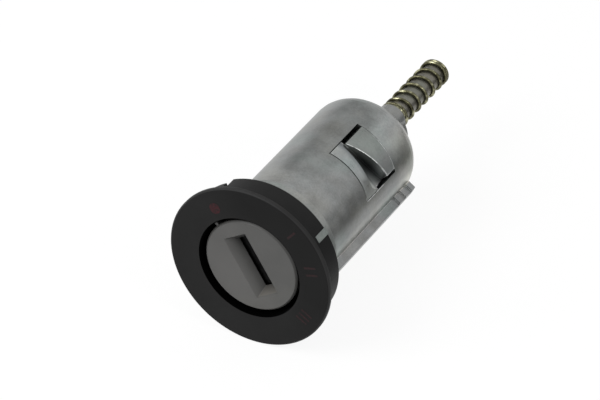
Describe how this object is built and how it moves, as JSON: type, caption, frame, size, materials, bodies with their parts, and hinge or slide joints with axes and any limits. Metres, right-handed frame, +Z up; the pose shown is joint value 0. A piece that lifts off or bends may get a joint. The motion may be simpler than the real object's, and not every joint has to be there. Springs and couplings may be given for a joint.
{
  "type": "ignition lock",
  "caption": "Keyed ignition lock barrel with a round bezel, a die-cast body with a rib and a sprung catch, and a sprung drive stem.",
  "frame": {"origin": "on the lock's axis, at the front face of the bezel", "axes": "+Y along the axis from the key side to the tail, +Z up, +X to the right as seen from the key side"},
  "size_m": [0.034, 0.075, 0.034],
  "materials": {
    "bezel_plastic": "satin",
    "cap_shell": "satin",
    "zinc_housing": "as cast",
    "zinc_core": "as cast",
    "zinc_catch": "satin",
    "zinc_stem": "satin",
    "shutter_steel": "satin",
    "spring_steel": "satin",
    "yellow_spring": "yellow plated",
    "tumbler_brass": "satin"
  },
  "bodies": {
    "housing": {"housing": "zinc_housing", "bezel_ring": "bezel_plastic", "catch_spring": "spring_steel"},
    "rotor": {"rotor_core": "zinc_core", "rotor_cap": "cap_shell", "shutter_pin": "spring_steel", "shutter_spring": "spring_steel", "drive_stem": "zinc_stem", "stem_cross_pin": "spring_steel", "rotor_clip": "spring_steel", "tail_spring": "yellow_spring", "tumbler_1": "tumbler_brass", "tumbler_2": "tumbler_brass", "tumbler_3": "tumbler_brass", "tumbler_4": "tumbler_brass", "tumbler_5": "tumbler_brass", "tumbler_6": "tumbler_brass", "tumbler_7": "tumbler_brass", "tumbler_8": "tumbler_brass", "tumbler_spring_1": "spring_steel", "tumbler_spring_2": "spring_steel", "tumbler_spring_3": "spring_steel", "tumbler_spring_4": "spring_steel", "tumbler_spring_5": "spring_steel", "tumbler_spring_6": "spring_steel", "tumbler_spring_7": "spring_steel", "tumbler_spring_8": "spring_steel"},
    "shutter": {"shutter_flap": "shutter_steel"},
    "catch": {"retaining_catch": "zinc_catch"}
  },
  "joints": [
    {"name": "key_turn", "type": "hinge", "parent": "housing", "child": "rotor", "pos_m": [0, 0, 0], "axis": [0, 1, 0], "range_deg": [0, 154]},
    {"name": "shutter_swing", "type": "hinge", "parent": "rotor", "child": "shutter", "pos_m": [0.00187, 0.0039, 0.00117], "axis": [0.5299, 0, -0.848], "range_deg": [0, 85], "stiffness_Nm_per_rad": 0.0002, "springref_deg": -28.65, "deforming": ["shutter_spring"]},
    {"name": "catch_press", "type": "slide", "parent": "housing", "child": "catch", "axis": [-0.7046, 0, -0.7096], "range_m": [0, 0.0011], "stiffness_N_per_m": 2000, "springref_m": -0.001, "deforming": ["catch_spring"]}
  ]
}
